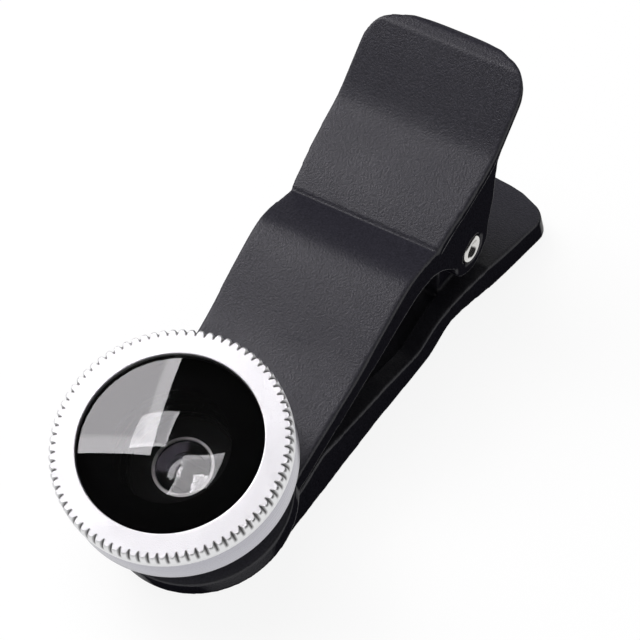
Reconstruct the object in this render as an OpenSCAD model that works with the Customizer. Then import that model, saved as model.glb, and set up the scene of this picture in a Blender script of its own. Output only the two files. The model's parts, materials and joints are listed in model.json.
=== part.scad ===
// Clip-on phone lens: a sprung moulded clip with a screw-in lens in a knurled ring.
// The clip is drawn in the lens's own frame: the lens axis is Z, the centre of its
// front face is the origin, +Y runs back to the handles. at_rest() then sets the
// whole clip down on its nose and heel, with the bottom centre of its box at zero.

/* [Lens] */
// Diameter of the knurled front ring over its teeth
ring_d = 25; // [24:0.5:27]
// Height of the knurled band
ring_h = 2; // [1.8:0.1:2.6]
// Number of teeth round the ring
teeth = 77; // [60:1:90]
// Depth of the grooves between the teeth
tooth_h = 0.5; // [0.3:0.05:0.6]
// Width of the ring's flat face round the glass
bezel_w = 2.8; // [2.2:0.1:3.4]
// Radius of the front glass's outer curve
glass_curve = 80; // [60:5:100]
// Step from the teeth in to the smooth band
band_step = 0.25; // [0.1:0.05:0.5]
// Height of the smooth band
band_h = 4; // [3.6:0.2:5]
// Step from the band in to the barrel's neck
neck_step = 3.65; // [3:0.05:4.2]
// Height of the neck above the arm's top
neck_h = 7.1; // [6.4:0.1:9]
// Step from the neck in to the screw thread
shoulder_w = 1.6; // [1.2:0.1:2]
// Thickness of the front glass at its edge
glass_t = 2.5; // [2.4:0.1:2.8]
// Depth of the hollow behind the front glass
glass_hollow = 2.3; // [1.8:0.1:2.3]
// Thickness of the inner glass at its edge
inner_t = 1.2; // [1:0.1:1.5]
// Thickness of the rear glass
rear_t = 2; // [1.8:0.1:2.2]
// Number of steps down the baffle cone
baffle_steps = 5; // [3:1:7]
// Diameter of the hole in the spacer's hood
hood_hole_d = 6.4; // [5.4:0.1:7.4]

/* [Clip] */
// Width of the arms behind the lens
arm_w = 18; // [17.4:0.2:18.6]
// Width of the thumb pad and of the lower handle
pad_w = 19.7; // [19.4:0.1:20.6]
// Width of the head round the screw thread
head_w = 3.45; // [3.2:0.05:4.2]
// Thickness of the head
head_t = 2.9; // [2.7:0.1:3.6]
// Step from the head in to the lower arm's round nose
nose_step = 1.85; // [1.4:0.05:2.4]
// Thickness of the lower arm at its nose
nose_t = 2.2; // [2:0.1:2.8]
// Distance from the hinge pin to the rear end of the thumb pad
thumb_len = 18; // [15.4:0.1:20]
// Radius of the thumb pad's corners
pad_corner_r = 4.3; // [2:0.1:5]
// Radius of the lower handle's corners
handle_corner_r = 3.8; // [2:0.1:5]
// Width of the rim by which the thumb pad stands out over the ears
rim_out = 0.3; // [0.1:0.05:0.5]
// Step up from the crease to the thumb pad
crease_lip = 0.35; // [0.1:0.05:0.6]
// Thickness of the upper arm's plate
plate_t = 2.4; // [2:0.1:2.7]
// Thickness of the side walls
wall_t = 2; // [1.8:0.1:2.2]
// Height of the hump in front of the crease
hump_h = 0.95; // [0.4:0.05:1.4]
// Drop of the crease below the arm's top
crease_drop = 2; // [1.4:0.1:2.4]
// Rise of the thumb pad's end above the arm's top
pad_rise = 2.5; // [1.8:0.1:3.2]
// Length of the lower handle
handle_len = 18.7; // [15:0.1:21]
// Slope of the lower handle, down from the lens plane
handle_slope = 36.5; // [34:0.5:39]
// Thickness of the lower handle at its end
handle_t = 3.1; // [2.6:0.1:3.4]
// Depth of the flats on which the nose and the heel rest
rest_flat = 0.4; // [0.2:0.05:0.5]

/* [Hinge] */
// Distance from the lens axis to the hinge pin
pin_y = 40.9; // [36:0.1:46]
// Height of the hinge pin below the arm's top
pin_drop = 11.2; // [10.8:0.1:12]
// Diameter of the hinge pin
pin_d = 2.6; // [2.2:0.1:3]
// Diameter of the pin's rolled heads
pin_head_d = 3.3; // [3.1:0.1:3.8]
// Radius of the ears round the pin
ear_r = 3.4; // [3.2:0.1:3.8]
// Wire diameter of the spring
wire_d = 1.2; // [1:0.1:1.4]
// Mean diameter of the spring's coil
coil_d = 6.2; // [5.6:0.1:6.6]
// Number of full turns in the coil
coil_turns = 4; // [3:1:5]
// Reach of the spring's legs behind the pin
leg_reach = 9.6; // [8.6:0.2:10.6]

/* [Pads] */
// Width of the head's rim round the rubber ring
ring_rim = 1.45; // [1.2:0.05:1.8]
// Width of the rubber ring
upper_pad_w = 3.5; // [2.8:0.1:4]
// Thickness of the rubber ring
upper_pad_t = 1; // [0.8:0.1:1.2]
// Width of the nose's rim round the lower rubber pad
pad_rim = 1.8; // [1.4:0.1:2.4]
// Length of the lower pad's straight part
lower_pad_len = 2.6; // [2:0.2:3]
// Thickness of the lower pad below its ribs
lower_pad_t = 0.8; // [0.6:0.1:1]
// Number of ribs across the lower pad
pad_ribs = 6; // [4:1:8]

/* [Hidden] */
$fn = 96;
fit = 0.05;          // running clearance on the pin and the thread
ring_edge = 0.2;     // chamfer round the knurled ring
seat = 0.05;         // play between pieces that sit on each other
soft_gap = 0.2;      // space between the two rubber pads
side_gap = 0.4;      // space between the upper and the lower ears
low_ear_t = 1.7;     // thickness of the lower arm's ears
big = 200;           // longer than the whole clip
flat = 5000;         // radius of a glass face that is all but flat

// Lens, from the knurled ring in to the thread and out to the jaws
ring_r = ring_d / 2;
glass_r = ring_r - bezel_w;
band_r = ring_r - band_step;
neck_r = band_r - neck_step;
thread_r = neck_r - shoulder_w;
head_r = thread_r + head_w;
nose_r = head_r - nose_step;
pin_r = pin_d / 2;
coil_r = coil_d / 2;
upper_pad_r = head_r - ring_rim;
lower_pad_r = nose_r - pad_rim;

arm_top = -ring_h - band_h - neck_h;
head_low = arm_top - head_t;
jaw_z = head_low - 2 * soft_gap;   // rim of the lower jaw
pin_z = arm_top - pin_drop;
pin = [pin_y, pin_z];
ear_in = arm_w / 2 - wall_t + 0.3;
ear_low_out = ear_in - side_gap;
ear_low_in = ear_low_out - low_ear_t;

// Points on a smooth curve through p, n steps between each two of them
function curve_at(a, b, c, d, t) =
    b + (c - a) * t / 2 + (2 * a - 5 * b + 4 * c - d) * t * t / 2
    + (3 * b - a - 3 * c + d) * t * t * t / 2;
function smooth_line(p, n = 7) = concat(
    [for (i = [0 : len(p) - 2], k = [0 : n - 1])
        curve_at(p[max(i - 1, 0)], p[i], p[i + 1], p[min(i + 2, len(p) - 1)], k / n)],
    [p[len(p) - 1]]);
function flipped(p) = [for (i = [len(p) - 1 : -1 : 0]) p[i]];
function moved(p, v) = [for (q = p) q + v];
function arc(c, r, a0, a1, n = 10) =
    [for (k = [0 : n]) c + r * [cos(a0 + (a1 - a0) * k / n), sin(a0 + (a1 - a0) * k / n)]];
// Height of a spherical face of radius r at distance d from its axis
function sag(r, d) = r - sqrt(r * r - d * d);
// Rise of that face from its rim, at distance rim, to a hole's edge at distance d
function bulge(r, rim, d) = sag(r, rim) - sag(r, d);
// Radius of the spherical face that is dished by depth inside that rim
function dished(rim, depth) = (rim * rim + depth * depth) / (2 * depth);

// Upper arm, seen from the side: y along the clip, z up. Steps are from the pin,
// or from the crease for the thumb pad
hump_at = 12.4;                    // hump in front of the pin
crease_at = 5.1;                   // crease in front of the pin
thumb_steps = [[3.2, 0.4], [7.2, 0.6], [10.7, 0.8], [12.7, 1.25]];
rim_t = 1.4;                       // thickness of the rim round the thumb pad
roll = 2.4;                        // length of the pad's rolled end
clip_len = pin_y + thumb_len;
arm_start = head_r + 1.5;
crease = [pin_y - crease_at, arm_top - crease_drop];
hump = [pin_y - hump_at, arm_top + hump_h];
rise_at = [hump.x - 4.5, arm_top + hump_h * 0.68];
arm_line = smooth_line([[arm_start, arm_top], [(arm_start + rise_at.x) / 2, arm_top], rise_at,
    hump, hump + [2.9, -0.65], crease - [0, crease_lip]]);
thumb_low = crease + thumb_steps[3];
thumb_top = [clip_len - roll, arm_top + pad_rise];
thumb_end = [clip_len - plate_t / 2, thumb_top.y - 0.1];
pad_line = concat(smooth_line(concat([crease], [for (q = thumb_steps) crease + q],
    [for (t = [[0.36, 0.36], [0.7, 0.71], [1, 1]])
        [thumb_low.x + (thumb_top.x - thumb_low.x) * t.x,
         thumb_low.y + (thumb_top.y - thumb_low.y) * t.y]])), [thumb_end]);
pad_end = arc(thumb_end - [0, plate_t / 2], plate_t / 2, 75, -90);
top_line = concat([[-head_r, arm_top]], arm_line, pad_line);
pad_under = moved(pad_line, [0, -plate_t]);
// Lower edge of the upper arm's side walls, with the arch into the ear
arch = smooth_line([[pin_y - 14, head_low - 0.1], [pin_y - 9.5, head_low - 0.7],
    [pin_y - 5.8, head_low - 3.5], pin + [-ear_r, 1]]);
ear_back = [pin + [ear_r, -0.4], pin + [ear_r + 2, 2.8],
    [pin_y + ear_r + 4.2, crease.y + 0.9 - plate_t]];

// Lower arm, seen from the side, in steps from the pin
back_steps = [[-19.3, 1.9], [-15.9, -0.3], [-12.6, -2.2], [-8.6, -2.7], [-3.9, -4.3]];
belly_steps = [[-24.2, -0.8], [-16.4, -4.1], [-11.4, -6.2], [-6.7, -6.5], [-2.9, -8.5]];
handle_at = [1.3, -6.8];
belly_drop = 5.1;                  // depth of the jaw under the rubber pad
floor_t = plate_t;
handle_dir = [cos(handle_slope), -sin(handle_slope)];
handle_up = [-handle_dir.y, handle_dir.x];
handle_start = pin + handle_at;
handle_end = handle_start + handle_len * handle_dir;
heel = handle_end - handle_t * handle_up;
rim_end = lower_pad_len + lower_pad_r + 0.8;
low_back = concat([[rim_end, jaw_z]],
    smooth_line(concat([for (q = back_steps) pin + q], [handle_start])));
low_belly = concat(
    smooth_line(concat([[-nose_r, jaw_z - nose_t], [nose_r / 2, jaw_z - belly_drop]],
        [for (q = belly_steps) pin + q])), [heel]);
channel_y = rim_end + 2.3;         // front end of the lower arm's channel

rib_step = (2 * lower_pad_r + lower_pad_len) / pad_ribs;
groove_w = rib_step / 3;
head_sink = 0.35;                  // depth of the recess for the pin's head
head_play = 0.15;                  // room round the pin's head
head_out = 0.75;                   // thickness of the pin's head

// Stance: the line from the nose to the heel is laid on the ground
rest_tilt = atan2(jaw_z - nose_t - heel.y, heel.x + nose_r);
function ground_y(p) = p.x * cos(rest_tilt) - p.y * sin(rest_tilt);
function ground_z(p) = p.x * sin(rest_tilt) + p.y * cos(rest_tilt);
rest_z = rest_flat + ground_z(heel);
front_y = ground_y([-ring_r, -ring_edge]);
back_y = ground_y(handle_end);
mid_y = (front_y + back_y) / 2;

module at_rest()
    translate([0, -mid_y, -rest_z])
        rotate([rest_tilt, 0, 0])
            children();

// A side outline, y and z, made w wide along X
module across(w)
    rotate([90, 0, 90])
        linear_extrude(height = w, center = true)
            children();

// A cylinder along the hinge axis from x0 to x1
module pin_bore(r, x0, x1)
    translate([x0, pin_y, pin_z])
        rotate([0, 90, 0])
            cylinder(r = r, h = x1 - x0);

module disc(r, low, high)
    translate([0, 0, low])
        cylinder(r = r, h = high - low);

// Plan outline of an arm: half widths along one side, a bowed end with round corners,
// and the mirror of it all
module plan(side, end_y, bow, corner) {
    w = side[len(side) - 1].x;
    flank = w - corner * 0.6;
    right = concat(smooth_line(side, 6),
        arc([w - corner, end_y - bow - corner], corner, 0, 90 - atan(2 * bow / flank), 9),
        [for (t = [0.55, 0.35, 0.15, 0]) [t * w, end_y - bow * t * t * w * w / flank / flank]]);
    left = [for (p = flipped(right)) [-p.x, p.y]];
    translate([0, 0, -big / 2])
        linear_extrude(height = big)
            polygon(concat(right, left));
}

// Outline of the upper arm; inset draws in what lies behind the crease
module upper_outline(inset = 0) {
    w = pad_w / 2 - inset;
    plan([[arm_w / 2 - 0.2, 0], [arm_w / 2, head_r * 0.8], [arm_w / 2 + 0.4, hump.x],
        [arm_w / 2 + 0.25 - inset / 3, crease.x], [w - 0.15, pin_y + 1.1], [w, thumb_low.x],
        [w, clip_len - inset - pad_corner_r - 1]], clip_len - inset, 0.9, pad_corner_r);
    disc(head_r, -big / 2, big / 2);
}

module upper_arm() color("#2b2b2f") at_rest()
difference() {
    intersection() {
        union() {
            difference() {
                across(big) polygon(concat(top_line, pad_end, flipped(pad_under),
                    [[pin_y, head_low], [-head_r, head_low]]));
                across(big) polygon([[-big, head_low], [-big, -big], [big, -big],
                    [big, head_low]]);
            }
            across(big) {
                polygon(concat([[-head_r, head_low], [-head_r, arm_top]], arm_line, pad_line,
                    flipped(ear_back), [pin], flipped(arch)));
                translate(pin) circle(r = ear_r);
            }
        }
        union() {
            upper_outline(rim_out);
            // Rim of the thumb pad
            intersection() {
                upper_outline();
                across(big) polygon(concat([[crease.x, 0], [big, 0], [big, thumb_end.y - rim_t]],
                    flipped(moved(pad_line, [0, -rim_t]))));
            }
        }
    }
    // Channel between the side walls
    across(2 * ear_in) polygon(concat(
        [[head_r + 0.6, -big], [head_r + 0.6, arm_top - plate_t]],
        moved(arm_line, [0, -plate_t]), pad_under,
        [[big, arm_top + pad_rise - plate_t], [big, -big]]));
    // Thread bore, seat of the rubber ring, pin holes and their recesses
    disc(thread_r, head_low - 1, arm_top + 1);
    disc(upper_pad_r + seat, head_low - 1, head_low + upper_pad_t - soft_gap);
    pin_bore(pin_r + fit, -big / 2, big / 2);
    for (s = [0, 1]) mirror([s, 0, 0])
        pin_bore(pin_head_d / 2 + head_play, arm_w / 2 - head_sink, big / 2);
}

module upper_pad() color("#1d1d1f") at_rest()
difference() {
    disc(upper_pad_r, head_low - soft_gap, head_low + upper_pad_t - soft_gap - seat);
    disc(upper_pad_r - upper_pad_w, head_low - 1, arm_top);
}

module lower_outline() {
    plan([[nose_r, 0], [arm_w / 2, rim_end - 1.2], [arm_w / 2 + 0.2, rim_end + 9],
        [arm_w / 2 + 0.2, pin_y - 8], [pad_w / 2, pin_y + 2.1],
        [pad_w / 2, handle_end.x - handle_corner_r - 2.5]], handle_end.x, 1.5,
        handle_corner_r);
    disc(nose_r, -big / 2, big / 2);
}

module stadium(grow, low, high) {
    r = lower_pad_r + grow;
    disc(r, low, high);
    translate([0, lower_pad_len, 0]) disc(r, low, high);
    translate([-r, 0, low]) cube([2 * r, lower_pad_len, high - low]);
}

module lower_arm() color("#2b2b2f") at_rest()
difference() {
    union() {
        difference() {
            intersection() {
                across(big) polygon(concat([[-nose_r, jaw_z]], low_back, [handle_end],
                    flipped(low_belly)));
                lower_outline();
            }
            // Channel above the floor, between the side walls
            across(arm_w - 2 * wall_t) polygon(concat(
                [[channel_y, big], [channel_y, lookup(channel_y, low_belly) + floor_t]],
                [for (p = low_belly) if (p.x > channel_y && p.x < handle_start.x)
                    p + [0, floor_t]],
                [handle_start - [0, floor_t / 2], handle_start + [0, big]]));
        }
        // Ears that carry the pin
        for (s = [0, 1]) mirror([s, 0, 0])
            translate([(ear_low_in + ear_low_out) / 2, 0, 0])
                across(ear_low_out - ear_low_in) intersection() {
                    union() {
                        translate(pin) circle(r = ear_r);
                        translate(pin) polygon([[-ear_r, 0], [-ear_r - 2.2, handle_at.y],
                            [-ear_r - 2.2, -big], [ear_r + 1.2, -big],
                            [ear_r + 1.2, handle_at.y - 1.5], [ear_r, 0]]);
                    }
                    polygon(concat(low_belly, [[big, 0], [-nose_r, 0]]));
                }
    }
    stadium(seat, jaw_z - lower_pad_t, jaw_z + 1);
    pin_bore(pin_r + fit, -big / 2, big / 2);
    // Flats on the nose and the heel
    rotate([-rest_tilt, 0, 0])
        translate([-big / 2, -big / 2, rest_z - big]) cube([big, big, big]);
}

module lower_pad() color("#1d1d1f") at_rest()
difference() {
    stadium(0, jaw_z - lower_pad_t + seat, jaw_z + soft_gap);
    // Grooves that leave the ribs standing
    for (k = [0.5 : pad_ribs])
        translate([-ring_d, -lower_pad_r + k * rib_step - groove_w / 2, jaw_z])
            cube([2 * ring_d, groove_w, 1]);
}

module hinge_pin() color("silver") at_rest() {
    head_at = arm_w / 2 - head_sink + fit;
    difference() {
        union() {
            pin_bore(pin_r, -head_at - 0.2, head_at + 0.2);
            for (s = [0, 1]) mirror([s, 0, 0])
                pin_bore(pin_head_d / 2, head_at, head_at + head_out);
        }
        pin_bore(pin_r * 0.62, head_at - 1.4, head_at + head_out + 1);
    }
}

// Spring: helix round the pin, one leg under the thumb pad, one on the lower handle
leg_gap = wire_d / 2 + 0.1;
leg_up = [leg_reach, lookup(pin_y + leg_reach, pad_line) - plate_t - leg_gap - pin_z];
leg_down = handle_at + handle_dir * leg_reach + leg_gap * handle_up;
up_angle = atan2(leg_up.y, leg_up.x) - asin(coil_r / norm(leg_up));
down_angle = atan2(leg_down.y, leg_down.x) + asin(coil_r / norm(leg_down));
coil_half = ear_low_in - wire_d / 2 - 0.2;
coil_start = down_angle + 270;
coil_sweep = coil_start - (90 + up_angle) + 360 * coil_turns;
coil_steps = 22 * (coil_turns + 1);
spring_path = concat(
    [[-coil_half, leg_down.x, leg_down.y]],
    [for (k = [0 : coil_steps]) let (a = coil_start - coil_sweep * k / coil_steps)
        [-coil_half + 2 * coil_half * k / coil_steps, coil_r * cos(a), coil_r * sin(a)]],
    [[coil_half, leg_up.x, leg_up.y]]);

function unit(v) = v / norm(v);
// Tube of round section swept along a path of 3-D points
module tube(path, r, sides = 8) {
    n = len(path);
    rings = [for (i = [0 : n - 1])
        let (t = unit(path[min(i + 1, n - 1)] - path[max(i - 1, 0)]),
             u = unit(cross(t, [1, 0, 0])), v = cross(t, u))
        for (s = [0 : sides - 1])
            path[i] + r * (cos(360 * s / sides) * u + sin(360 * s / sides) * v)];
    sidewall = [for (i = [0 : n - 2], s = [0 : sides - 1])
        let (a = i * sides + s, b = i * sides + (s + 1) % sides)
        [a, b, b + sides, a + sides]];
    polyhedron(points = rings, faces = concat(
        [[for (s = [sides - 1 : -1 : 0]) s]], sidewall,
        [[for (s = [0 : sides - 1]) (n - 1) * sides + s]]), convexity = 10);
}

module torsion_spring() color("#9a9a9c") at_rest()
    translate([0, pin.x, pin.y]) tube(spring_path, wire_d / 2);

// Lens stack, from the front to the foot of the barrel
lip_t = 0.45;                            // thickness of the ring's front lip
hold_w = 0.5;                            // width of glass that the lip holds
skirt_t = 0.75;                          // barrel's wall round the front glass
core_wall = 2;                           // wall of the neck
lock_t = 0.7;
stop_t = 0.35;
stop_hole_r = 2.4;
cap_t = 1.1;
cap_dish = 0.85;                         // hollow behind the last glass
inner_curve = 40;                        // both faces of the inner glass
rear_curve = 22;
glass_out = glass_r + hold_w;
glass_rim = -lip_t - seat - bulge(glass_curve, glass_out, glass_r);
glass_low = glass_rim - glass_t;         // ledge under the front glass
skirt_r = glass_out + skirt_t;
cup_r = glass_r - 0.35;                  // bore that holds the baffle cone
cup_low = -ring_h - band_h + 0.1;        // floor of that bore
core_r = neck_r - core_wall;             // bore that holds the small lenses
core_hole_r = core_r - 0.5;              // hole of the lock ring, and hood's rim
foot_z = head_low + upper_pad_t - soft_gap + 0.2;
core_low = foot_z + 0.9;                 // lip that stops the rear glass
ledge_r = core_r - 1.3;
lock_low = cup_low - lock_t;
inner_low = lock_low - inner_t;
hood_top = inner_low - seat - sag(inner_curve, core_r);
cap_high = core_low + seat + cap_t;
rear_high = cap_high + seat + rear_t;
stop_high = rear_high + seat + stop_t;
hood_low = (hood_top + stop_high) / 2;

module ring_outline() {
    tip = 360 / teeth;
    polygon([for (k = [0 : teeth - 1], q = [[0.04, -1], [0.30, 0], [0.70, 0], [0.96, -1]])
        (ring_r + q.y * tooth_h) * [cos((k + q.x) * tip), sin((k + q.x) * tip)]]);
}

module front_ring() color("#d9d9dc") at_rest()
difference() {
    intersection() {
        translate([0, 0, -ring_h]) linear_extrude(height = ring_h) ring_outline();
        rotate_extrude() polygon([[0, 1], [ring_r - ring_edge - 1, 1],
            [ring_r + 0.1, -ring_edge - 0.1], [ring_r + 0.1, 0.1 + ring_edge - ring_h],
            [ring_r - ring_edge - 0.1, -ring_h - 0.1], [0, -ring_h - 0.1]]);
    }
    disc(glass_r, -ring_h, 2);
    disc(skirt_r + seat, -big / 2, -lip_t);
    translate([0, 0, -0.1]) cylinder(r1 = glass_r, r2 = glass_r + 0.2, h = 0.2);
}

module lens_barrel() color("#c4c4c8") at_rest()
difference() {
    rotate_extrude() polygon([
        [0, -lip_t - seat], [skirt_r, -lip_t - seat], [skirt_r, -ring_h - seat],
        [band_r - 0.2, -ring_h - seat], [band_r, -ring_h - seat - 0.2],
        [band_r, -ring_h - band_h + 0.3], [band_r - 0.3, -ring_h - band_h],
        [neck_r + 0.5, -ring_h - band_h - 1], [neck_r, -ring_h - band_h - 1.5],
        [neck_r, arm_top + seat], [thread_r - fit, arm_top + seat],
        [thread_r - fit, foot_z + 0.2], [thread_r - fit - 0.2, foot_z], [0, foot_z]]);
    disc(glass_out + seat, glass_low, 1);
    disc(cup_r + seat, cup_low, 1);
    disc(core_r + seat, core_low, 1);
    disc(ledge_r, foot_z - 1, 1);
}

// Round glass with two spherical faces; a curve above zero bulges outwards
module glass(r, low, high, curve_up, curve_down) {
    steps = 10;
    up = sign(curve_up);
    down = sign(curve_down);
    rotate_extrude() polygon(concat(
        [for (k = [0 : steps]) let (d = r * k / steps)
            [d, high + up * (sag(abs(curve_up), r) - sag(abs(curve_up), d))]],
        [for (k = [steps : -1 : 0]) let (d = r * k / steps)
            [d, low - down * (sag(abs(curve_down), r) - sag(abs(curve_down), d))]]));
}

module front_glass() color("#20242c", 0.5) at_rest()
    glass(glass_out, glass_low + seat, glass_rim, glass_curve,
        -dished(glass_out, glass_hollow));

module baffle_cone() color("#101012") at_rest() {
    wide = cup_r - 0.3;
    step = [(core_hole_r + 0.1 - wide) / baffle_steps,
        (cup_low + 0.7 - glass_low) / baffle_steps];
    difference() {
        disc(cup_r, cup_low + seat, glass_low - seat);
        rotate_extrude() polygon(concat([[0, glass_low + 1], [wide, glass_low + 1]],
            [for (k = [0 : baffle_steps - 1], e = [0, 1])
                [wide + k * step.x, glass_low - 0.4 + (k + e) * step.y]],
            [[core_hole_r + 0.1, cup_low + 0.3], [core_hole_r + 0.1, cup_low - 1],
                [0, cup_low - 1]]));
    }
}

module lock_ring() color("#3a3a3e") at_rest()
difference() {
    disc(core_r, lock_low + seat, cup_low - seat);
    disc(core_hole_r, lock_low - 1, cup_low + 1);
    translate([0, 0, cup_low - 0.2])
        cylinder(r1 = core_hole_r, r2 = core_hole_r + 0.2, h = 0.2);
}

module inner_glass() color("#20242c", 0.5) at_rest()
    glass(core_r, inner_low + seat, lock_low - bulge(inner_curve, core_r, core_hole_r),
        inner_curve, inner_curve);

// Spacer: a tube closed by a hood, whose hole passes the light
module spacer_tube() color("#101012") at_rest() {
    hole = hood_hole_d / 2;
    difference() {
        disc(core_r, stop_high + seat, inner_low + seat - bulge(inner_curve, core_r, core_hole_r));
        disc(core_hole_r, hood_top, inner_low + 1);
        disc(core_r - 1.2, stop_high - 1, hood_low);
        disc(hole, hood_low - 1, hood_top + 1);
        translate([0, 0, hood_top - 0.3]) cylinder(r1 = hole, r2 = hole + 0.4, h = 0.4);
    }
}

module stop_ring() color("#101012") at_rest()
difference() {
    disc(core_r, rear_high + seat, stop_high);
    disc(stop_hole_r, rear_high - 1, stop_high + 1);
}

module rear_glass() color("#20242c", 0.5) at_rest()
    glass(core_r, cap_high + seat, rear_high - bulge(rear_curve, core_r, stop_hole_r),
        rear_curve, flat);

module rear_cap_glass() color("#20242c", 0.5) at_rest()
    glass(core_r, core_low + seat, cap_high, flat, -dished(core_r, cap_dish));

lower_arm();
lower_pad();
hinge_pin();
torsion_spring();
upper_arm();
upper_pad();
lens_barrel();
front_ring();
front_glass();
baffle_cone();
lock_ring();
inner_glass();
spacer_tube();
stop_ring();
rear_glass();
rear_cap_glass();
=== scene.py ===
"""Clip-on phone lens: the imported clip, dressed piece by piece and lit as in a small studio."""

import math

import bmesh
import bpy
from mathutils import Matrix, Vector
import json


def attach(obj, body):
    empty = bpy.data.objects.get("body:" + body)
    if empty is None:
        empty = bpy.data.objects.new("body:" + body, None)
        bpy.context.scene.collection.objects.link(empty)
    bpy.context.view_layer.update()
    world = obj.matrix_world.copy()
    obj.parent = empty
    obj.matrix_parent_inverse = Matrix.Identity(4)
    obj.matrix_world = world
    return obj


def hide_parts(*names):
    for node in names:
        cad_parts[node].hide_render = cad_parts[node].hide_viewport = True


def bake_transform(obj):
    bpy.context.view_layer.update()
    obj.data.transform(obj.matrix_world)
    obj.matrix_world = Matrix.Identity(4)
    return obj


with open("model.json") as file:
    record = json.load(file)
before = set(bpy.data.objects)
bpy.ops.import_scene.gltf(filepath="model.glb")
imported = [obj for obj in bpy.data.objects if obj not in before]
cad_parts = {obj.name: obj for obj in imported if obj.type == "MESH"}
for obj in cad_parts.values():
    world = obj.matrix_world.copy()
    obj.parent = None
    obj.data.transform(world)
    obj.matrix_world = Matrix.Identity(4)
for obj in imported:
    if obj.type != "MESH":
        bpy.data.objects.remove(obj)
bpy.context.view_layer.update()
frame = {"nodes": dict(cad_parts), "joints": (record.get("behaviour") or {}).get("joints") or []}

mm = 0.001
joints = {joint["name"]: joint for joint in frame["joints"]}
scene = bpy.context.scene

# Lower arm.
# Jaw and handle in one, moulded from black glass-filled nylon with a spark-eroded grain.
# The tool leaves every edge rounded by a few tenths of a millimetre.


def deselect():
    bpy.ops.object.select_all(action="DESELECT")


def work_on(piece):
    deselect()
    piece.select_set(True)
    bpy.context.view_layer.objects.active = piece


def smooth(piece, angle=35):
    work_on(piece)
    bpy.ops.object.shade_smooth_by_angle(angle=math.radians(angle))


def shaped(piece, name, kind, **settings):
    """Adds a modifier with those settings to a piece and applies it at once."""
    work_on(piece)
    modifier = piece.modifiers.new(name, kind)
    for key, value in settings.items():
        setattr(modifier, key, value)
    bpy.ops.object.modifier_apply(modifier=modifier.name)


def softened(node, name, square, passes, keep):
    """A copy of a CAD node with all its edges rubbed round, which then stands for the node.

    The copy is rebuilt of even squares, relaxed in a number of passes, so that edges round
    off by about two squares while flats stay flat, and thinned to a share of its faces.
    """
    piece = bpy.data.objects.new(name, frame["nodes"][node].data.copy())
    piece.data.name = name
    piece.data.materials.clear()
    scene.collection.objects.link(piece)
    work_on(piece)
    bpy.ops.object.mode_set(mode="EDIT")
    bpy.ops.mesh.select_all(action="SELECT")
    bpy.ops.mesh.customdata_custom_splitnormals_clear()
    bpy.ops.mesh.remove_doubles(threshold=0.004 * mm)
    bpy.ops.object.mode_set(mode="OBJECT")
    shaped(piece, "Even squares", "REMESH", mode="VOXEL", voxel_size=square * mm, adaptivity=0.0)
    shaped(piece, "Relax", "SMOOTH", factor=0.5, iterations=passes)
    shaped(piece, "Thin out", "DECIMATE", ratio=keep)
    smooth(piece, 60)
    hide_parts(node)
    return piece


def node_group(name, inputs, outputs):
    """An empty shader node group with those number sockets."""
    group = bpy.data.node_groups.new(name, "ShaderNodeTree")
    for label, value in inputs:
        socket = group.interface.new_socket(label, in_out="INPUT", socket_type="NodeSocketFloat")
        socket.default_value = value
    for label in outputs:
        group.interface.new_socket(label, in_out="OUTPUT", socket_type="NodeSocketFloat")
    return group, group.nodes.new("NodeGroupInput"), group.nodes.new("NodeGroupOutput")


def add_node(tree, kind, **values):
    """A node whose settings and unlinked sockets are given by name."""
    made = tree.nodes.new(kind)
    for key, value in values.items():
        if key in made.inputs:
            made.inputs[key].default_value = value
        else:
            setattr(made, key, value)
    return made


def combine(tree, operation, *terms):
    """One number worked out of sockets and plain values."""
    made = add_node(tree, "ShaderNodeMath", operation=operation)
    for socket, term in zip(made.inputs, terms):
        if isinstance(term, bpy.types.NodeSocket):
            tree.links.new(term, socket)
        else:
            socket.default_value = term
    return made.outputs[0]


def remap(tree, source, span, result, **settings):
    """A value that runs over the result while the source runs over its span."""
    made = add_node(tree, "ShaderNodeMapRange", **settings)
    made.inputs["From Min"].default_value, made.inputs["From Max"].default_value = span
    made.inputs["To Min"].default_value, made.inputs["To Max"].default_value = result
    tree.links.new(source, made.inputs["Value"])
    return made.outputs["Result"]


# Grain of a moulded or blasted skin: fine pits, and slow patches where it is duller
per_metre = 1000.0
grain, grain_in, grain_out = node_group(
    "Grain", [("Size mm", 0.2), ("Patch mm", 4.0)], ["Height", "Patches"]
)
place = grain.nodes.new("ShaderNodeTexCoord")
for label, socket, detail, rough in (
    ("Height", "Size mm", 2.0, 0.6),
    ("Patches", "Patch mm", 4.0, 0.55),
):
    scale = combine(grain, "DIVIDE", per_metre, grain_in.outputs[socket])
    pits = add_node(grain, "ShaderNodeTexNoise", Detail=detail, Roughness=rough)
    grain.links.new(place.outputs["Object"], pits.inputs["Vector"])
    grain.links.new(scale, pits.inputs["Scale"])
    grain.links.new(pits.outputs["Fac"], grain_out.inputs[label])

# Edges for wear and a painted highlight: a mask that is 1 on a convex or concave edge and 0 on the
# flats
edges, edges_in, edges_out = node_group("Edges", [("Radius mm", 0.4)], ["Mask"])
rounded = add_node(edges, "ShaderNodeBevel", samples=4)
true_normal = edges.nodes.new("ShaderNodeNewGeometry")
agree = add_node(edges, "ShaderNodeVectorMath", operation="DOT_PRODUCT")
radius = combine(edges, "MULTIPLY", edges_in.outputs["Radius mm"], mm)
edges.links.new(radius, rounded.inputs["Radius"])
edges.links.new(rounded.outputs["Normal"], agree.inputs[0])
edges.links.new(true_normal.outputs["Normal"], agree.inputs[1])
mask = remap(edges, agree.outputs["Value"], (0.995, 0.85), (0.0, 1.0))
edges.links.new(mask, edges_out.inputs["Mask"])


def use_group(tree, group, **values):
    """A group in a material, with its named sockets set."""
    made = tree.nodes.new("ShaderNodeGroup")
    made.node_tree = group
    for key, value in values.items():
        made.inputs[key.replace("_", " ")].default_value = value
    return made


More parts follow.
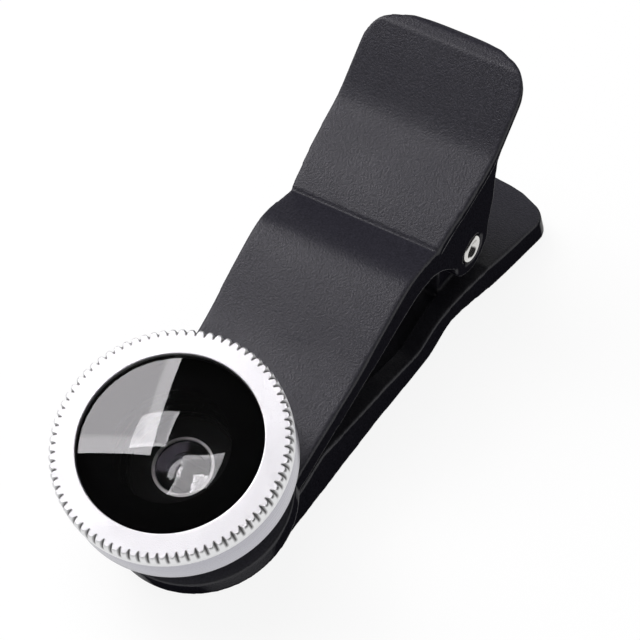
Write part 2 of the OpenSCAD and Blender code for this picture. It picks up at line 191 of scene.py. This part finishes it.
def new_material(name):
    material = bpy.data.materials.new(name)
    material.use_nodes = True
    tree = material.node_tree
    return material, tree, tree.nodes["Principled BSDF"]


def colour_between(tree, shader, factor, low, high):
    """Base colour that runs from low to high with a factor. Low may be a socket too."""
    ramp = add_node(tree, "ShaderNodeMix", data_type="RGBA")
    # A Mix node has its two colours in its sockets 6 and 7, and the mixed one in its third
    low_colour, high_colour, mixed = ramp.inputs[6], ramp.inputs[7], ramp.outputs[2]
    if isinstance(low, bpy.types.NodeSocket):
        tree.links.new(low, low_colour)
    else:
        low_colour.default_value = (*low, 1)
    high_colour.default_value = (*high, 1)
    tree.links.new(factor, ramp.inputs["Factor"])
    tree.links.new(mixed, shader.inputs["Base Color"])
    return mixed


def value_between(tree, factor, low, high, target):
    """A socket that runs from low to high over the span that a noise mostly fills."""
    tree.links.new(remap(tree, factor, (0.3, 0.7), (low, high)), target)


def bump(tree, shader, height, depth, strength):
    """Bump of that depth, in mm, for the whole range of a height."""
    rise = add_node(tree, "ShaderNodeBump", Strength=strength, Distance=depth * mm)
    tree.links.new(height, rise.inputs["Height"])
    tree.links.new(rise.outputs["Normal"], shader.inputs["Normal"])


black_plastic, tree, shader = new_material("Black grained plastic")
skin = use_group(tree, grain, Size_mm=0.22, Patch_mm=5.0)
edge_wear_and_highlight = use_group(tree, edges, Radius_mm=0.35)
body_colour = colour_between(
    tree, shader, skin.outputs["Height"], (0.001, 0.0009, 0.0025), (0.044, 0.0425, 0.056)
)
# Lighter edges: partly wear, partly a painted highlight along them
colour_between(tree, shader, edge_wear_and_highlight.outputs["Mask"], body_colour, (0.060, 0.059, 0.066))
value_between(tree, skin.outputs["Patches"], 0.41, 0.48, shader.inputs["Roughness"])
# The grain shades itself at a low angle, so the gloss fades towards the sides and only a
# little of it comes back at the very rim
slant = add_node(tree, "ShaderNodeLayerWeight", Blend=0.5)
open_gloss = remap(tree, slant.outputs["Facing"], (0.1, 0.65), (0.6, 0.0))
rim_gloss = remap(tree, slant.outputs["Facing"], (0.8, 0.95), (0.0, 0.3))
gloss = combine(tree, "MAXIMUM", open_gloss, rim_gloss)
tree.links.new(gloss, shader.inputs["Specular IOR Level"])
bump(tree, shader, skin.outputs["Height"], 0.055, 0.9)

lower_arm = softened("lower_arm", "Lower_arm", square=0.16, passes=14, keep=0.3)
lower_arm.data.materials.append(black_plastic)
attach(lower_arm, "lower_jaw")

# Lower pad.
# Soft black rubber, pressed into its seat in the jaw, with ribs across that grip the phone.

rubber, tree, shader = new_material("Matt black rubber")
skin = use_group(tree, grain, Size_mm=0.12, Patch_mm=3.0)
colour_between(tree, shader, skin.outputs["Patches"], (0.010, 0.010, 0.011), (0.022, 0.022, 0.023))
value_between(tree, skin.outputs["Patches"], 0.68, 0.85, shader.inputs["Roughness"])
shader.inputs["Specular IOR Level"].default_value = 0.3
bump(tree, shader, skin.outputs["Height"], 0.015, 0.5)

lower_pad = softened("lower_pad", "Lower_pad", square=0.1, passes=3, keep=0.5)
lower_pad.data.materials.append(rubber)
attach(lower_pad, "lower_jaw")

# Hinge pin.
# Tubular steel rivet through all four ears. Its ends are rolled over into round lips
# that stand in the recesses of the outer ears.

pin_at = Vector(joints["jaw_open"]["pos_m"])
pin_r = 1.3
lip_r = 1.65
lip = 0.32
pin_half = 9.45
dimple_r = 0.8
dimple = 1.5


def pick(piece, part, test):
    """In edit mode: selects the verts or edges that pass the test, and nothing else."""
    mesh = bmesh.from_edit_mesh(piece.data)
    mesh.verts.ensure_lookup_table()
    for items in (mesh.verts, mesh.edges, mesh.faces):
        for item in items:
            item.select = False
    for item in getattr(mesh, part):
        if test(item):
            item.select = True
    mesh.select_flush(True)
    bmesh.update_edit_mesh(piece.data)


def lathe(name, profile, steps=96, closed=True, turn=360):
    """Spins a profile of (radius, height) stations, in mm, about the Z axis.

    A closed profile is joined from its last station to its first. One that isn't closed
    begins and ends on the axis.
    """
    deselect()
    bpy.ops.mesh.primitive_plane_add(size=mm)
    piece = bpy.context.object
    piece.name = piece.data.name = name
    bpy.ops.object.mode_set(mode="EDIT")
    bpy.ops.mesh.select_mode(type="VERT")
    bpy.ops.mesh.select_all(action="SELECT")
    bpy.ops.mesh.merge(type="CENTER")
    first = profile[0]
    bpy.ops.transform.translate(value=(first[0] * mm, 0, first[1] * mm))
    for before, after in zip(profile, profile[1:]):
        move = ((after[0] - before[0]) * mm, 0, (after[1] - before[1]) * mm)
        bpy.ops.mesh.extrude_region_move(TRANSFORM_OT_translate={"value": move})
    if closed:
        pick(piece, "verts", lambda vertex: vertex.index in (0, len(profile) - 1))
        bpy.ops.mesh.edge_face_add()
    bpy.ops.mesh.select_all(action="SELECT")
    bpy.ops.mesh.spin(
        steps=steps, angle=math.radians(turn), center=(0, 0, 0), axis=(0, 0, 1)
    )
    bpy.ops.mesh.select_all(action="SELECT")
    bpy.ops.mesh.remove_doubles(threshold=0.002 * mm)
    bpy.ops.mesh.normals_make_consistent(inside=False)
    bpy.ops.object.mode_set(mode="OBJECT")
    return piece


def seat(piece, rotation, location):
    """Turns a finished piece into its place and leaves its object at the origin."""
    work_on(piece)
    piece.rotation_euler = rotation
    piece.location = location
    bpy.ops.object.transform_apply(location=True, rotation=True, scale=True)


def arc(centre, r, start, end, steps):
    """Stations on an arc from one angle to another, in degrees from the radial direction."""
    return [
        (
            centre[0] + r * math.cos(math.radians(start + (end - start) * k / steps)),
            centre[1] + r * math.sin(math.radians(start + (end - start) * k / steps)),
        )
        for k in range(steps + 1)
    ]


# Half of the outline, from the middle of the shank to the dimple in the rolled end
end_half = (
    [(pin_r, 0), (pin_r, pin_half - 2 * lip - 0.05)]
    + arc((lip_r - lip, pin_half - lip), lip, -75, 180, 10)
    + [(dimple_r + 0.04, pin_half - 0.55), (dimple_r, pin_half - 0.9),
       (dimple_r, pin_half - dimple), (0, pin_half - dimple)]
)
outline = [(r, -z) for r, z in reversed(end_half[1:])] + end_half

pin_steel, tree, shader = new_material("Rolled steel")
marks = use_group(tree, grain, Size_mm=0.25, Patch_mm=1.4)
colour_between(tree, shader, marks.outputs["Patches"], (0.60, 0.59, 0.57), (0.80, 0.79, 0.77))
shader.inputs["Metallic"].default_value = 1.0
value_between(tree, marks.outputs["Patches"], 0.16, 0.30, shader.inputs["Roughness"])
bump(tree, shader, marks.outputs["Height"], 0.006, 0.4)

hinge_pin = lathe("Hinge_pin", outline, steps=48, closed=False)
smooth(hinge_pin, 40)
seat(hinge_pin, (0, math.radians(90), 0), pin_at)
hinge_pin.data.materials.append(pin_steel)
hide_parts("hinge_pin")
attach(hinge_pin, "lower_jaw")

# Torsion spring.
# Spring wire wound round the pin between the lower ears. One leg presses up under the
# thumb pad and the other down on the lower handle.

wire_r = 0.6
coil_r = 3.1
coil_half = 4.4
stance = 22.2016
coil_start = 230.043 + stance
coil_sweep = 1553.94
leg_low = Vector((-coil_half, 9.4334, -11.9476))
leg_high = Vector((coil_half, 9.6, 8.146))
tip_share = 0.03
tip_width = 0.72

deselect()
bpy.ops.mesh.primitive_circle_add(vertices=12, radius=wire_r * mm, location=pin_at)
spring = bpy.context.object
spring.name = spring.data.name = "Torsion_spring"
bpy.ops.object.mode_set(mode="EDIT")
bpy.ops.mesh.select_all(action="SELECT")
# The wire's round section stands beside the pin, at the coil's first end
bpy.ops.transform.translate(value=(-coil_half * mm, coil_r * mm, 0))
bpy.ops.object.mode_set(mode="OBJECT")
spring.rotation_euler = (math.radians(coil_start), 0, 0)
bpy.ops.object.transform_apply(location=False, rotation=True, scale=True)
shaped(
    spring, "Coil", "SCREW", axis="X", angle=math.radians(-coil_sweep),
    screw_offset=2 * coil_half * mm, steps=150, render_steps=150, use_merge_vertices=False,
)

tilt = Matrix.Rotation(math.radians(stance), 3, "X")
bpy.ops.object.mode_set(mode="EDIT")
bpy.ops.mesh.select_mode(type="VERT")
for side, leg in ((-1, leg_low), (1, leg_high)):
    target = tilt @ leg
    pick(
        spring, "edges",
        lambda edge: edge.is_boundary and (edge.verts[0].co.x > 0) == (side > 0),
    )
    mesh = bmesh.from_edit_mesh(spring.data)
    rim = [vertex.co for vertex in mesh.verts if vertex.select]
    middle = sum(rim, Vector()) / len(rim)
    # The wire leaves the coil on its tangent and keeps its width up to a blunt tip
    run = target * mm - middle
    for share in (1 - tip_share, tip_share):
        bpy.ops.mesh.extrude_region_move(TRANSFORM_OT_translate={"value": run * share})
    bpy.ops.transform.resize(value=(tip_width, tip_width, tip_width))
    bpy.ops.mesh.edge_face_add()
bpy.ops.mesh.select_all(action="SELECT")
bpy.ops.mesh.normals_make_consistent(inside=False)
bpy.ops.object.mode_set(mode="OBJECT")
bpy.ops.object.transform_apply(location=True, rotation=True, scale=True)
smooth(spring, 50)

spring_steel, tree, shader = new_material("Drawn spring wire")
marks = use_group(tree, grain, Size_mm=0.15, Patch_mm=2.0)
colour_between(tree, shader, marks.outputs["Patches"], (0.42, 0.42, 0.43), (0.60, 0.60, 0.61))
shader.inputs["Metallic"].default_value = 1.0
value_between(tree, marks.outputs["Patches"], 0.28, 0.42, shader.inputs["Roughness"])
bump(tree, shader, marks.outputs["Height"], 0.008, 0.4)
spring.data.materials.append(spring_steel)
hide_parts("torsion_spring")
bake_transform(spring)

# Upper arm.
# Upper jaw and thumb pad, one moulding of the same nylon: a round head with the tapped
# hole for the lens, a hump, a crease, and side walls that run down into the ears.

upper_arm = softened("upper_arm", "Upper_arm", square=0.16, passes=14, keep=0.3)
upper_arm.data.materials.append(black_plastic)
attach(upper_arm, "upper_jaw")

# Upper pad.
# Flat rubber ring glued into the underside of the head, where it seals round the camera.

lens_at = Vector(joints["lens_turn"]["pos_m"])
lens_axis = Vector(joints["lens_turn"]["axis"])
lens_tilt = (math.atan2(-lens_axis.y, lens_axis.z), 0, 0)

upper_pad = lathe(
    "Upper_pad",
    [(9.0, -15.25), (9.0, -16.2), (8.2, -16.2), (8.05, -16.1), (6.45, -16.1), (6.3, -16.2),
     (5.5, -16.2), (5.5, -15.25)],
)
shaped(
    upper_pad, "Edge radius", "BEVEL", limit_method="ANGLE", angle_limit=math.radians(30),
    width=0.12 * mm, segments=3, use_clamp_overlap=False, miter_outer="MITER_ARC",
)
smooth(upper_pad)
seat(upper_pad, lens_tilt, lens_at)
upper_pad.data.materials.append(rubber)
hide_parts("upper_pad")
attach(upper_pad, "upper_jaw")

# Lens barrel.
# Turned from aluminium bar: a smooth band below the ring, a neck, and the threaded foot
# that screws into the arm. Clear anodised over fine turning lines.

ledge = -3.063
thread_r = 6.95
root_r = 6.82
thread_pitch = 0.42
thread = []
for turn in range(4):
    top = -13.2 - thread_pitch * turn
    thread += [(thread_r, top), (thread_r, top - 0.1), (root_r, top - 0.24), (root_r, top - 0.3)]
barrel = lathe(
    "Lens_barrel",
    [(10.25, -0.5), (10.95, -0.5), (10.95, -2.05), (12.1, -2.05), (12.21, -2.1),
     (12.25, -2.22), (12.25, -5.62), (12.2, -5.8), (12.06, -5.93), (11.9, -6.0), (9.1, -7.0),
     (8.75, -7.2), (8.6, -7.5), (8.6, -12.9), (8.45, -13.05), (thread_r, -13.05)]
    + thread +
    [(6.75, -15.0), (5.3, -15.0), (5.3, -14.1), (6.65, -14.1), (6.65, -5.9), (9.4, -5.9),
     (9.4, ledge), (10.25, ledge)],
    steps=128,
)
smooth(barrel, 25)
seat(barrel, lens_tilt, lens_at)

# Turning lines: random fine rings about the lens axis, on faces and walls alike
turned, turned_in, turned_out = node_group("Turned", [("Lines per mm", 9.0)], ["Lines"])
place = turned.nodes.new("ShaderNodeTexCoord")
to_axis = add_node(turned, "ShaderNodeMapping", vector_type="TEXTURE")
to_axis.inputs["Location"].default_value = lens_at
to_axis.inputs["Rotation"].default_value = lens_tilt
apart = turned.nodes.new("ShaderNodeSeparateXYZ")
flat = turned.nodes.new("ShaderNodeCombineXYZ")
out = add_node(turned, "ShaderNodeVectorMath", operation="LENGTH")
rings = turned.nodes.new("ShaderNodeCombineXYZ")
lines = add_node(turned, "ShaderNodeTexNoise", Detail=3.0, Roughness=0.7)
turned.links.new(place.outputs["Object"], to_axis.inputs["Vector"])
turned.links.new(to_axis.outputs["Vector"], apart.inputs["Vector"])
turned.links.new(apart.outputs["X"], flat.inputs["X"])
turned.links.new(apart.outputs["Y"], flat.inputs["Y"])
turned.links.new(flat.outputs["Vector"], out.inputs[0])
turned.links.new(out.outputs["Value"], rings.inputs["X"])
turned.links.new(apart.outputs["Z"], rings.inputs["Z"])
turned.links.new(rings.outputs["Vector"], lines.inputs["Vector"])
scale = combine(turned, "MULTIPLY", turned_in.outputs["Lines per mm"], per_metre)
turned.links.new(scale, lines.inputs["Scale"])
turned.links.new(lines.outputs["Fac"], turned_out.inputs["Lines"])

barrel_aluminium, tree, shader = new_material("Turned anodised aluminium")
lathe_marks = use_group(tree, turned, Lines_per_mm=9.0)
colour_between(
    tree, shader, lathe_marks.outputs["Lines"], (0.43, 0.425, 0.47), (0.52, 0.515, 0.56)
)
shader.inputs["Metallic"].default_value = 1.0
value_between(tree, lathe_marks.outputs["Lines"], 0.24, 0.34, shader.inputs["Roughness"])
bump(tree, shader, lathe_marks.outputs["Lines"], 0.004, 0.5)
barrel.data.materials.append(barrel_aluminium)

# The bores are blackened: dye and a matt lacquer that swallow stray light
dull_black, tree, shader = new_material("Dull black lacquer")
brushed = use_group(tree, grain, Size_mm=0.3, Patch_mm=3.0)
colour_between(
    tree, shader, brushed.outputs["Patches"], (0.0016, 0.0016, 0.002), (0.003, 0.003, 0.0036)
)
value_between(tree, brushed.outputs["Patches"], 0.6, 0.75, shader.inputs["Roughness"])
shader.inputs["Specular IOR Level"].default_value = 0.12
bump(tree, shader, brushed.outputs["Height"], 0.006, 0.4)
barrel.data.materials.append(dull_black)
ring_bore_r = 10.35
lens_bore_r = 6.7
bore_step = -6
to_lens = Matrix.Rotation(lens_tilt[0], 4, "X").inverted()
for face in barrel.data.polygons:
    at = to_lens @ (face.center - lens_at) / mm
    across = math.hypot(at.x, at.y)
    if across < ring_bore_r and (at.z > bore_step or across < lens_bore_r):
        face.material_index = 1
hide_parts("lens_barrel")
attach(barrel, "lens")

# Baffle cone.
# Black anodised cone behind the front glass. Its fine steps catch stray light.

cone_steps = 5
cone_r = 9.05
cone_hole_r = 6.2
cone_top = ledge - 0.4
cone_low = -5.6
cone = [(cone_r, ledge - 0.05), (cone_r, cone_top)]
for k in range(cone_steps):
    near = cone_r + (cone_hole_r - cone_r) * k / cone_steps
    far = cone_r + (cone_hole_r - cone_r) * (k + 1) / cone_steps
    deep = cone_top + (cone_low - cone_top) * (k + 1) / cone_steps
    cone += [(near - 0.06, deep), (far, deep)]
baffle = lathe(
    "Baffle_cone", [(9.35, -5.85), (9.35, ledge - 0.05)] + cone + [(cone_hole_r, -5.85)]
)
smooth(baffle, 25)
seat(baffle, lens_tilt, lens_at)
baffle.data.materials.append(dull_black)
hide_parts("baffle_cone")
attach(baffle, "lens")

# Lock ring.
# Black threaded ring under the cone that holds the inner glass in its bore.

lock_ring = lathe(
    "Lock_ring",
    [(6.6, -6.5), (6.6, -5.95), (6.45, -5.95), (6.35, -6.05), (6.35, -6.5)],
)
smooth(lock_ring, 25)
seat(lock_ring, lens_tilt, lens_at)
black_anodised, tree, shader = new_material("Black anodised aluminium")
lathe_marks = use_group(tree, turned, Lines_per_mm=7.0)
colour_between(
    tree, shader, lathe_marks.outputs["Lines"], (0.003, 0.003, 0.0036), (0.006, 0.006, 0.007)
)
value_between(tree, lathe_marks.outputs["Lines"], 0.45, 0.6, shader.inputs["Roughness"])
shader.inputs["Specular IOR Level"].default_value = 0.2
bump(tree, shader, lathe_marks.outputs["Lines"], 0.004, 0.4)
lock_ring.data.materials.append(black_anodised)
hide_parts("lock_ring")
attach(lock_ring, "lens")

# Inner glass.
# Second lens, ground and coated, dropped into the barrel's bore under the lock ring.


def curve_drop(curve, r):
    """How far a spherical face falls from its middle to radius r."""
    return curve - math.sqrt(curve * curve - r * r)


def lens_profile(r, top, top_curve, low, low_curve, steps=14):
    """Both faces of a round glass, given at its edge. A curve above zero bulges outwards."""

    def face(edge, curve, way):
        bulge = way * math.copysign(1, curve)
        curve = abs(curve)
        return [
            (out, edge + bulge * (curve_drop(curve, r) - curve_drop(curve, out)))
            for out in (r * k / steps for k in range(steps + 1))
        ]

    return face(top, top_curve, 1) + face(low, low_curve, -1)[::-1]


def glass(name, haze, tint=(1, 1, 1)):
    """Clear optical glass, faintly hazed, whose reflections a coating may dim and tint."""
    material, tree, shader = new_material(name)
    shader.inputs["Base Color"].default_value = (1, 1, 1, 1)
    shader.inputs["Transmission Weight"].default_value = 1.0
    shader.inputs["IOR"].default_value = 1.64
    shader.inputs["Specular Tint"].default_value = (*tint, 1)
    smears = use_group(tree, grain, Size_mm=0.5, Patch_mm=6.0)
    value_between(tree, smears.outputs["Patches"], 0.0, haze, shader.inputs["Roughness"])
    return material


optical_glass = glass("Coated optical glass", 0.025)
coated_top = glass("Well coated glass", 0.02, (0.10, 0.09, 0.115))

inner_r = 6.6
inner_curve = 40
inner_top = -6.85
inner_low = -7.65
inner_glass = lathe(
    "Inner_glass", lens_profile(inner_r, inner_top, inner_curve, inner_low, inner_curve),
    closed=False,
)
smooth(inner_glass, 25)
# It lies a little askew in its bore, as its reflection shows
middle = Vector((0, 0, -7.2)) * mm
askew = Matrix.Rotation(math.radians(-1.3), 4, "X") @ Matrix.Rotation(math.radians(-2.1), 4, "Y")
inner_glass.data.transform(Matrix.Translation(middle) @ askew @ Matrix.Translation(-middle))
inner_glass.data.materials.append(optical_glass)
inner_glass.data.materials.append(coated_top)
for face in inner_glass.data.polygons:
    if face.normal.z > 0.5:
        face.material_index = 1
seat(inner_glass, lens_tilt, lens_at)
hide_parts("inner_glass")
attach(inner_glass, "lens")

# Spacer hood.
# Black hood below the inner glass that spaces it from the rear pair. The turned edge of
# its hole is left bare, and shows as a thin bright circle deep in the lens.

hood_top = -8.4
hood_hole_r = 3.2
hood = lathe(
    "Spacer_tube",
    [(6.6, -10.45), (6.6, -7.83), (6.25, -7.83), (6.1, hood_top), (hood_hole_r + 0.42, hood_top),
     (hood_hole_r + 0.1, hood_top), (hood_hole_r, hood_top - 0.1),
     (hood_hole_r - 0.02, hood_top - 0.6), (5.4, hood_top - 1.0), (5.4, -10.45)],
)
smooth(hood, 25)
bare_edge, tree, shader = new_material("Bare turned edge")
lathe_marks = use_group(tree, turned, Lines_per_mm=10.0)
colour_between(
    tree, shader, lathe_marks.outputs["Lines"], (0.52, 0.51, 0.51), (0.62, 0.61, 0.61)
)
shader.inputs["Metallic"].default_value = 1.0
value_between(tree, lathe_marks.outputs["Lines"], 0.42, 0.5, shader.inputs["Roughness"])
hood.data.materials.append(black_anodised)
hood.data.materials.append(bare_edge)
for face in hood.data.polygons:
    across = math.hypot(face.center.x, face.center.y) / mm
    if hood_hole_r < across < hood_hole_r + 0.4 and face.normal.z > 0.2:
        face.material_index = 1
seat(hood, lens_tilt, lens_at)
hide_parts("spacer_tube")
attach(hood, "lens")

# Stop and rear glasses.
# Loose in the bore below the hood: a thin aperture stop and the rear pair of lenses.
# Their plain turned shapes come straight from the frame.

for node, material in (
    ("stop_ring", black_anodised),
    ("rear_glass", optical_glass),
    ("rear_cap_glass", optical_glass),
):
    part = frame["nodes"][node]
    part.data.materials.clear()
    part.data.materials.append(material)

# Front glass.
# Wide front lens, slightly domed, dished behind and coated. It lies on the barrel's
# ledge and the knurled ring holds its edge.

glass_r = 10.2
glass_curve = 80
dish_curve = -23.77
lip_under = -0.5
lip_bore_r = 9.7
glass_rim = lip_under - (curve_drop(glass_curve, glass_r) - curve_drop(glass_curve, lip_bore_r))
front_glass = lathe(
    "Front_glass",
    lens_profile(glass_r, glass_rim, glass_curve, ledge + 0.05, dish_curve, steps=20),
    steps=128, closed=False,
)
smooth(front_glass, 25)
front_glass.data.materials.append(optical_glass)
# Its edge and the outer part of its back are painted black, as on most mounted lenses
front_glass.data.materials.append(dull_black)
clear_r = 6.2
for face in front_glass.data.polygons:
    if face.normal.z < 0.1 and math.hypot(face.center.x, face.center.y) > clear_r * mm:
        face.material_index = 1
seat(front_glass, lens_tilt, lens_at)
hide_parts("front_glass")
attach(front_glass, "lens")

# Knurled front ring.
# Aluminium, bead-blasted and clear anodised, with 77 straight teeth to grip. It screws
# over the barrel and its lip holds the front glass.

teeth = 77
ring_r = 12.5
pitch = 360 / teeth
columns = 12
# A groove's depth: its share by columns from the middle, and mm by bands from top to low
groove = {0: 1.0, 1: 0.83, 2: 0.5, 3: 0.18, 4: 0.02}
bands = ((0.5, 0.1, -0.15), (0.4, -0.15, -0.35), (0.24, -0.35, -0.7), (0.12, -0.7, -1.1))
wall_inside = ring_r - 0.3
ring = lathe(
    "Front_ring",
    [(9.7, -0.45), (9.7, -0.1), (9.73, -0.03), (9.8, 0), (9.86, 0), (10.6, 0), (11.3, 0),
     (11.7, 0), (12.24, 0), (12.29, 0), (12.37, -0.06), (12.45, -0.14), (12.5, -0.23),
     (12.5, -0.5), (12.5, -0.9), (12.5, -1.3), (12.5, -1.85),
     (12.45, -1.95), (12.3, -2.0), (11.7, -2.0), (11.0, -2.0), (11.0, -0.45)],
    steps=columns, turn=pitch,
)


def in_band(at, angle, top, low):
    """Whether a point of the outer wall stands at that angle and between those heights."""
    on_wall = math.hypot(at.x, at.y) > wall_inside
    off = abs(abs(math.atan2(at.y, at.x)) - angle)
    return on_wall and low < at.z < top and off < math.radians(0.1)


# One tooth: the outer wall of each column moves in by its share of the groove's depth
work_on(ring)
bpy.ops.object.mode_set(mode="EDIT")
bpy.ops.mesh.select_mode(type="VERT")
for column in range(columns + 1):
    share = groove.get(min(column, columns - column), 0)
    if share:
        angle = math.radians(pitch * column / columns)
        for deep, top, low in bands:
            pick(ring, "verts", lambda vertex: in_band(vertex.co / mm, angle, top, low))
            reach = 1 - share * deep / ring_r
            bpy.ops.transform.resize(value=(reach, reach, 1), center_override=(0, 0, 0))
# The tooth is copied round the ring
bpy.ops.mesh.select_all(action="SELECT")
bpy.ops.mesh.spin(
    steps=teeth, angle=math.radians(360), dupli=True, center=(0, 0, 0), axis=(0, 0, 1)
)
bpy.ops.mesh.select_all(action="SELECT")
bpy.ops.mesh.remove_doubles(threshold=0.004 * mm)
bpy.ops.mesh.normals_make_consistent(inside=False)
bpy.ops.object.mode_set(mode="OBJECT")
# How deep in a groove each point of the toothed wall lies, for the painted shade in the material
groove_shade_share = ring.data.attributes.new("groove", "FLOAT", "POINT")
toothed_r = 11.75
groove_foot = -1.2
narrow = 4
for vertex in ring.data.vertices:
    at = vertex.co / mm
    if math.hypot(at.x, at.y) > toothed_r and at.z > groove_foot:
        turn = math.degrees(math.atan2(at.y, at.x)) % pitch / pitch
        groove_shade_share.data[vertex.index].value = max(0.0, 1 - min(turn, 1 - turn) * narrow)
smooth(ring, 28)
seat(ring, lens_tilt, lens_at)

ring_aluminium, tree, shader = new_material("Blasted anodised aluminium")
blast = use_group(tree, grain, Size_mm=0.14, Patch_mm=2.5)
edge_wear_and_highlight = use_group(tree, edges, Radius_mm=0.12)
face_colour = colour_between(
    tree, shader, blast.outputs["Patches"], (0.82, 0.82, 0.83), (0.90, 0.90, 0.91)
)
# Lighter edges: partly wear, partly a painted highlight along them
metal_colour = colour_between(
    tree, shader, edge_wear_and_highlight.outputs["Mask"], face_colour, (0.95, 0.95, 0.95)
)
# Painted shade: the grooves between the teeth are darkened to near black and made less metallic,
# for the shade that falls in them
painted_groove_shade = add_node(tree, "ShaderNodeAttribute", attribute_name="groove")
colour_between(tree, shader, painted_groove_shade.outputs["Fac"], metal_colour, (0.045, 0.042, 0.042))
metallic_outside_shade = remap(tree, painted_groove_shade.outputs["Fac"], (0.0, 1.0), (1.0, 0.1))
tree.links.new(metallic_outside_shade, shader.inputs["Metallic"])
value_between(tree, blast.outputs["Patches"], 0.38, 0.48, shader.inputs["Roughness"])
bump(tree, shader, blast.outputs["Height"], 0.02, 0.7)
ring.data.materials.append(ring_aluminium)
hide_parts("front_ring")
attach(ring, "lens")

# Studio.
# White table, a softbox over the lens's left side, a broad lamp overhead, and a room that
# is bright near the table and dark above, as the glass shows.

deselect()
bpy.ops.mesh.primitive_plane_add(size=4.0)
floor = bpy.context.object
floor.name = floor.data.name = "Table"
table_white, tree, shader = new_material("White table")
shader.inputs["Roughness"].default_value = 0.9
shader.inputs["Specular IOR Level"].default_value = 0.1
white = add_node(tree, "ShaderNodeEmission", Strength=1.0)
blend = tree.nodes.new("ShaderNodeMixShader")


def looked_at(tree):
    """1 for rays from the camera, from a mirror or through glass, and 0 for the rest."""
    rays = tree.nodes.new("ShaderNodeLightPath")
    mirrored = combine(
        tree, "MAXIMUM", rays.outputs["Is Camera Ray"], rays.outputs["Is Glossy Ray"]
    )
    return rays, combine(tree, "MAXIMUM", mirrored, rays.outputs["Is Transmission Ray"])


# Where it is looked at, the table is nearly all plain white and keeps a tenth of its shadow
white_share = 0.9
rays, looked = looked_at(tree)
colour_between(tree, shader, rays.outputs["Is Camera Ray"], (0.4, 0.4, 0.4), (1.0, 1.0, 1.0))
tree.links.new(combine(tree, "MULTIPLY", looked, white_share), blend.inputs["Fac"])
tree.links.new(shader.outputs["BSDF"], blend.inputs[1])
tree.links.new(white.outputs["Emission"], blend.inputs[2])
tree.links.new(blend.outputs["Shader"], tree.nodes["Material Output"].inputs["Surface"])
floor.data.materials.append(table_white)

# The softbox stands where its mirror image fills the upper left quarter of the glass:
# off to one corner of the line along which the middle of the glass mirrors the camera
mirror = Vector((-0.3634, -0.1201, 0.9237)).normalized()
level = Vector((0, 0, 1)).cross(mirror).normalized()
rise = mirror.cross(level)
box_at = lens_at + mirror * 0.6 - level * 0.1635 - rise * 0.189
box_roll = math.radians(-5)
box_side = 0.35
deselect()
bpy.ops.object.light_add(type="AREA", location=box_at)
softbox = bpy.context.object
softbox.name = "Softbox"
softbox.matrix_world = (
    Matrix.Translation(box_at)
    @ Matrix((level, rise, mirror)).transposed().to_4x4()
    @ Matrix.Rotation(box_roll, 4, "Z")
)
softbox.data.shape = "RECTANGLE"
softbox.data.size = softbox.data.size_y = box_side
softbox.data.energy = 2.2
softbox.data.color = (0.99, 0.965, 1.0)
# Its cloth is brighter along two edges, near the lamp heads
softbox.data.use_nodes = True
tree = softbox.data.node_tree
spot = tree.nodes.new("ShaderNodeNewGeometry")
sides = tree.nodes.new("ShaderNodeSeparateXYZ")
tree.links.new(spot.outputs["Parametric"], sides.inputs["Vector"])
low_edge, near_edge = (
    remap(tree, sides.outputs[side], span, (0.0, 1.0), interpolation_type="SMOOTHSTEP")
    for side, span in (("X", (0.89, 0.93)), ("Y", (0.92, 0.95)))
)
either_edge = combine(tree, "MAXIMUM", low_edge, near_edge)
cloth = remap(tree, either_edge, (0.0, 1.0), (0.97, 1.35))
tree.links.new(cloth, tree.nodes["Emission"].inputs["Strength"])

# A broad lamp overhead lights the tops. The glass and the metal don't mirror it.
lamp_at = Vector((-0.25, -0.1, 0.9))
deselect()
bpy.ops.object.light_add(type="AREA", location=lamp_at)
overhead_lamp = bpy.context.object
overhead_lamp.name = "Overhead lamp"
overhead_lamp.rotation_euler = (-lamp_at).to_track_quat("-Z", "Y").to_euler()
overhead_lamp.data.size = 0.6
overhead_lamp.data.energy = 5.0
overhead_lamp.visible_glossy = False
overhead_lamp.visible_transmission = False

# Where it is looked at, the room is white near the table and dark above. For all other
# rays it is dim and even.
ambient = 0.25
world = bpy.data.worlds.new("Room")
scene.world = world
world.use_nodes = True
room = world.node_tree
room.nodes.clear()
direction = room.nodes.new("ShaderNodeTexCoord")
height = room.nodes.new("ShaderNodeSeparateXYZ")
room.links.new(direction.outputs["Generated"], height.inputs["Vector"])
overhead = remap(
    room, height.outputs["Z"], (0.05, 0.3), (1.0, 0.03), interpolation_type="SMOOTHSTEP"
)
rays, looked = looked_at(room)
strength = room.nodes.new("ShaderNodeMix")
room.links.new(looked, strength.inputs[0])
strength.inputs[2].default_value = ambient
room.links.new(overhead, strength.inputs[3])
light = room.nodes.new("ShaderNodeBackground")
room.links.new(strength.outputs[0], light.inputs["Strength"])
end = room.nodes.new("ShaderNodeOutputWorld")
room.links.new(light.outputs["Background"], end.inputs["Surface"])

# Camera.
# Long lens from the front right, well above the clip, rolled a little.

aim = Vector((0.208, 0.855, 12.0)) * mm
eye = Vector((109.64, -196.949, 244.818)) * mm
roll = math.radians(2.473)
deselect()
bpy.ops.object.camera_add(location=eye)
camera = bpy.context.object
camera.name = "Camera"
look = (aim - eye).to_track_quat("-Z", "Y").to_matrix().to_4x4()
camera.matrix_world = Matrix.Translation(eye) @ look @ Matrix.Rotation(roll, 4, "Z")
camera.data.sensor_width = 36
camera.data.lens = 169.256
camera.data.clip_end = 10
scene.camera = camera

scene.view_settings.view_transform = "Standard"
